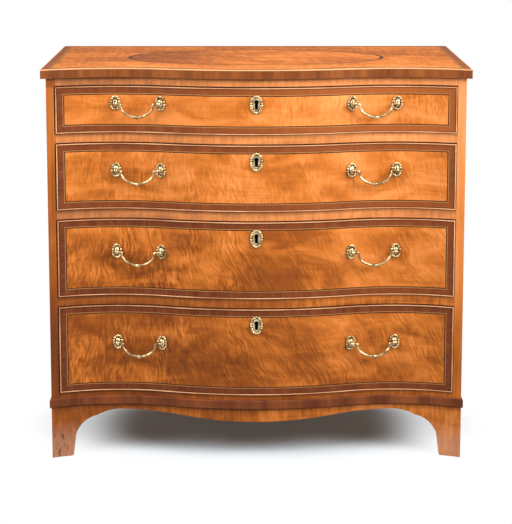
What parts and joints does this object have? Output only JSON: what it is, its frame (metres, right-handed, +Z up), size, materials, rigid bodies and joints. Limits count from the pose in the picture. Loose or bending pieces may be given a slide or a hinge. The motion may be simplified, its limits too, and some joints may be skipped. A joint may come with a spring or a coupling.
{
  "type": "serpentine chest of drawers",
  "caption": "Satinwood chest of drawers with a serpentine front, crossbanded drawers with cockbeads, swan-neck brass bail handles, locks and bracket feet.",
  "frame": {"origin": "on the floor, under the middle of the chest's overall box", "axes": "+X to the viewer's right, +Y towards the back, +Z up"},
  "size_m": [0.915, 0.57, 0.856],
  "materials": {
    "satinwood": "gloss",
    "softwood": "matte",
    "banding": "gloss",
    "oak": "satin",
    "brass": "aged",
    "lock_brass": "brushed",
    "bolt_steel": "brushed"
  },
  "bodies": {
    "carcase": {"top_board": "satinwood", "left_side": "satinwood", "right_side": "satinwood", "back_boards": "softwood", "bottom_board": "softwood", "top_front_rail": "satinwood", "drawer_rails": "satinwood", "bottom_front_rail": "satinwood", "dust_panels": "softwood", "runners_and_kickers": "softwood", "drawer_stops": "softwood", "base_moulding": "banding", "front_apron": "satinwood", "side_aprons": "satinwood", "rear_feet": "softwood", "foot_blocks": "softwood"},
    "drawer_1": {"drawer_1_front": "satinwood", "drawer_1_sides": "oak", "drawer_1_back": "oak", "drawer_1_bottom": "oak", "drawer_1_cockbeads": "banding", "drawer_1_escutcheon": "brass", "drawer_1_lock": "lock_brass", "drawer_1_handle_fittings": "brass"},
    "drawer_1_left_handle": {"drawer_1_left_bail": "brass"},
    "drawer_1_right_handle": {"drawer_1_right_bail": "brass"},
    "drawer_1_bolt": {"drawer_1_lock_bolt": "bolt_steel"},
    "drawer_2": {"drawer_2_front": "satinwood", "drawer_2_sides": "oak", "drawer_2_back": "oak", "drawer_2_bottom": "oak", "drawer_2_cockbeads": "banding", "drawer_2_escutcheon": "brass", "drawer_2_lock": "lock_brass", "drawer_2_handle_fittings": "brass"},
    "drawer_2_left_handle": {"drawer_2_left_bail": "brass"},
    "drawer_2_right_handle": {"drawer_2_right_bail": "brass"},
    "drawer_2_bolt": {"drawer_2_lock_bolt": "bolt_steel"},
    "drawer_3": {"drawer_3_front": "satinwood", "drawer_3_sides": "oak", "drawer_3_back": "oak", "drawer_3_bottom": "oak", "drawer_3_cockbeads": "banding", "drawer_3_escutcheon": "brass", "drawer_3_lock": "lock_brass", "drawer_3_handle_fittings": "brass"},
    "drawer_3_left_handle": {"drawer_3_left_bail": "brass"},
    "drawer_3_right_handle": {"drawer_3_right_bail": "brass"},
    "drawer_3_bolt": {"drawer_3_lock_bolt": "bolt_steel"},
    "drawer_4": {"drawer_4_front": "satinwood", "drawer_4_sides": "oak", "drawer_4_back": "oak", "drawer_4_bottom": "oak", "drawer_4_cockbeads": "banding", "drawer_4_escutcheon": "brass", "drawer_4_lock": "lock_brass", "drawer_4_handle_fittings": "brass"},
    "drawer_4_left_handle": {"drawer_4_left_bail": "brass"},
    "drawer_4_right_handle": {"drawer_4_right_bail": "brass"},
    "drawer_4_bolt": {"drawer_4_lock_bolt": "bolt_steel"}
  },
  "joints": [
    {"name": "drawer_1_slide", "type": "slide", "parent": "carcase", "child": "drawer_1", "axis": [0, -1, 0], "range_m": [0, 0.4]},
    {"name": "drawer_1_left_handle_swing", "type": "hinge", "parent": "drawer_1", "child": "drawer_1_left_handle", "pos_m": [-0.25605, -0.2502, 0.78], "axis": [-0.991, 0.1338, 0], "range_deg": [-25, 150]},
    {"name": "drawer_1_right_handle_swing", "type": "hinge", "parent": "drawer_1", "child": "drawer_1_right_handle", "pos_m": [0.25605, -0.2502, 0.78], "axis": [-0.991, -0.1338, 0], "range_deg": [-25, 150]},
    {"name": "drawer_1_bolt_slide", "type": "slide", "parent": "drawer_1", "child": "drawer_1_bolt", "axis": [0, 0, 1], "range_m": [0, 0.008]},
    {"name": "drawer_2_slide", "type": "slide", "parent": "carcase", "child": "drawer_2", "axis": [0, -1, 0], "range_m": [0, 0.4]},
    {"name": "drawer_2_left_handle_swing", "type": "hinge", "parent": "drawer_2", "child": "drawer_2_left_handle", "pos_m": [-0.25605, -0.2502, 0.6355], "axis": [-0.991, 0.1338, 0], "range_deg": [-25, 150]},
    {"name": "drawer_2_right_handle_swing", "type": "hinge", "parent": "drawer_2", "child": "drawer_2_right_handle", "pos_m": [0.25605, -0.2502, 0.6355], "axis": [-0.991, -0.1338, 0], "range_deg": [-25, 150]},
    {"name": "drawer_2_bolt_slide", "type": "slide", "parent": "drawer_2", "child": "drawer_2_bolt", "axis": [0, 0, 1], "range_m": [0, 0.008]},
    {"name": "drawer_3_slide", "type": "slide", "parent": "carcase", "child": "drawer_3", "axis": [0, -1, 0], "range_m": [0, 0.4]},
    {"name": "drawer_3_left_handle_swing", "type": "hinge", "parent": "drawer_3", "child": "drawer_3_left_handle", "pos_m": [-0.25605, -0.2502, 0.457], "axis": [-0.991, 0.1338, 0], "range_deg": [-25, 150]},
    {"name": "drawer_3_right_handle_swing", "type": "hinge", "parent": "drawer_3", "child": "drawer_3_right_handle", "pos_m": [0.25605, -0.2502, 0.457], "axis": [-0.991, -0.1338, 0], "range_deg": [-25, 150]},
    {"name": "drawer_3_bolt_slide", "type": "slide", "parent": "drawer_3", "child": "drawer_3_bolt", "axis": [0, 0, 1], "range_m": [0, 0.008]},
    {"name": "drawer_4_slide", "type": "slide", "parent": "carcase", "child": "drawer_4", "axis": [0, -1, 0], "range_m": [0, 0.4]},
    {"name": "drawer_4_left_handle_swing", "type": "hinge", "parent": "drawer_4", "child": "drawer_4_left_handle", "pos_m": [-0.25605, -0.2502, 0.2545], "axis": [-0.991, 0.1338, 0], "range_deg": [-25, 150]},
    {"name": "drawer_4_right_handle_swing", "type": "hinge", "parent": "drawer_4", "child": "drawer_4_right_handle", "pos_m": [0.25605, -0.2502, 0.2545], "axis": [-0.991, -0.1338, 0], "range_deg": [-25, 150]},
    {"name": "drawer_4_bolt_slide", "type": "slide", "parent": "drawer_4", "child": "drawer_4_bolt", "axis": [0, 0, 1], "range_m": [0, 0.008]}
  ]
}
